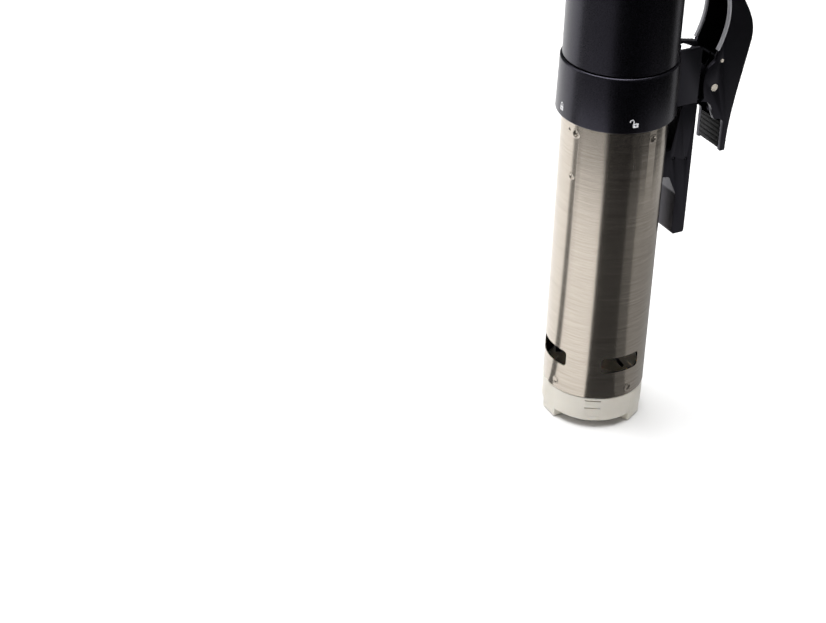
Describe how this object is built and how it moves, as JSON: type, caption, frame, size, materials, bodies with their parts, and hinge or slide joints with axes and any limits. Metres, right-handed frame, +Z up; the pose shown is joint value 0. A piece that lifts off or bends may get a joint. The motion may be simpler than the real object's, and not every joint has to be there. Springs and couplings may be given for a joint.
{
  "type": "sous vide circulator",
  "caption": "Stick-shaped immersion circulator: black body with a sloping panel, steel sleeve with water outlets, translucent foot and a sprung lever clamp.",
  "frame": {"origin": "on the tube's axis, in the plane of the feet", "axes": "+Z up the tube, +Y towards the clamp, -Y towards the control panel's low edge"},
  "size_m": [0.0634, 0.1073, 0.366],
  "materials": {
    "black_plastic": "satin moulded",
    "white_plastic": "translucent moulded",
    "brushed_steel": "brushed",
    "bright_steel": "drawn and polished",
    "aluminium": "machined",
    "grey_plastic": "satin moulded",
    "rubber": "matt moulded",
    "circuit_board": "lacquered",
    "dark_glass": "polished, dark"
  },
  "bodies": {
    "body": {"upper_housing": "black_plastic", "control_panel": "black_plastic", "display_lens": "dark_glass", "display_module": "dark_glass", "control_board": "circuit_board", "cable_gland": "rubber", "power_board": "circuit_board", "heat_sink": "aluminium", "motor": "bright_steel", "motor_plate": "aluminium", "collar": "black_plastic", "spigot": "black_plastic", "sleeve_seal": "rubber", "shaft_seal": "rubber", "assembly_screw_1": "bright_steel", "assembly_screw_2": "bright_steel", "assembly_screw_3": "bright_steel", "heater_coil": "bright_steel", "temperature_probe": "bright_steel", "level_probe_long": "bright_steel", "level_probe_short": "bright_steel", "support_rod_1": "bright_steel", "support_rod_2": "bright_steel", "support_rod_3": "bright_steel", "pump_plate": "bright_steel", "pump_bush": "white_plastic", "clamp_bracket": "black_plastic", "bracket_screw_1": "bright_steel", "bracket_screw_2": "bright_steel", "inner_jaw": "black_plastic", "inner_pad": "rubber", "jaw_rivet_1": "bright_steel", "jaw_rivet_2": "bright_steel", "pivot_pin": "bright_steel", "clamp_spring": "bright_steel"},
    "sleeve": {"sleeve": "brushed_steel"},
    "base_cap": {"base_cap": "white_plastic"},
    "spindle": {"drive_shaft": "bright_steel", "shaft_coupling": "aluminium", "impeller": "black_plastic", "cooling_fan": "black_plastic"},
    "lever": {"clamp_lever": "black_plastic", "outer_pad": "rubber", "lever_trim_left": "grey_plastic", "lever_trim_right": "grey_plastic", "spring_pin": "bright_steel"},
    "minus_button": {"minus_button": "grey_plastic"},
    "start_button": {"start_button": "grey_plastic"},
    "plus_button": {"plus_button": "grey_plastic"}
  },
  "joints": [
    {"name": "lever_hinge", "type": "hinge", "parent": "body", "child": "lever", "pos_m": [0, 0.0546, 0.189], "axis": [1, 0, 0], "range_deg": [-22, 15], "stiffness_Nm_per_rad": 0.8, "springref_deg": -22, "deforming": ["clamp_spring"]},
    {"name": "sleeve_twist", "type": "hinge", "parent": "body", "child": "sleeve", "pos_m": [0, 0, 0.177], "axis": [0, 0, 1], "range_deg": [0, 80]},
    {"name": "base_cap_pull", "type": "slide", "parent": "sleeve", "child": "base_cap", "axis": [0, 0, -1], "range_m": [0, 0.03]},
    {"name": "spindle_spin", "type": "hinge", "parent": "body", "child": "spindle", "pos_m": [0, 0, 0.1], "axis": [0, 0, 1], "continuous": true},
    {"name": "minus_press", "type": "slide", "parent": "body", "child": "minus_button", "axis": [0, 0.5736, -0.8192], "range_m": [0, 0.0008], "stiffness_N_per_m": 600, "springref_m": -0.0006},
    {"name": "start_press", "type": "slide", "parent": "body", "child": "start_button", "axis": [0, 0.5736, -0.8192], "range_m": [0, 0.0008], "stiffness_N_per_m": 600, "springref_m": -0.0006},
    {"name": "plus_press", "type": "slide", "parent": "body", "child": "plus_button", "axis": [0, 0.5736, -0.8192], "range_m": [0, 0.0008], "stiffness_N_per_m": 600, "springref_m": -0.0006}
  ]
}
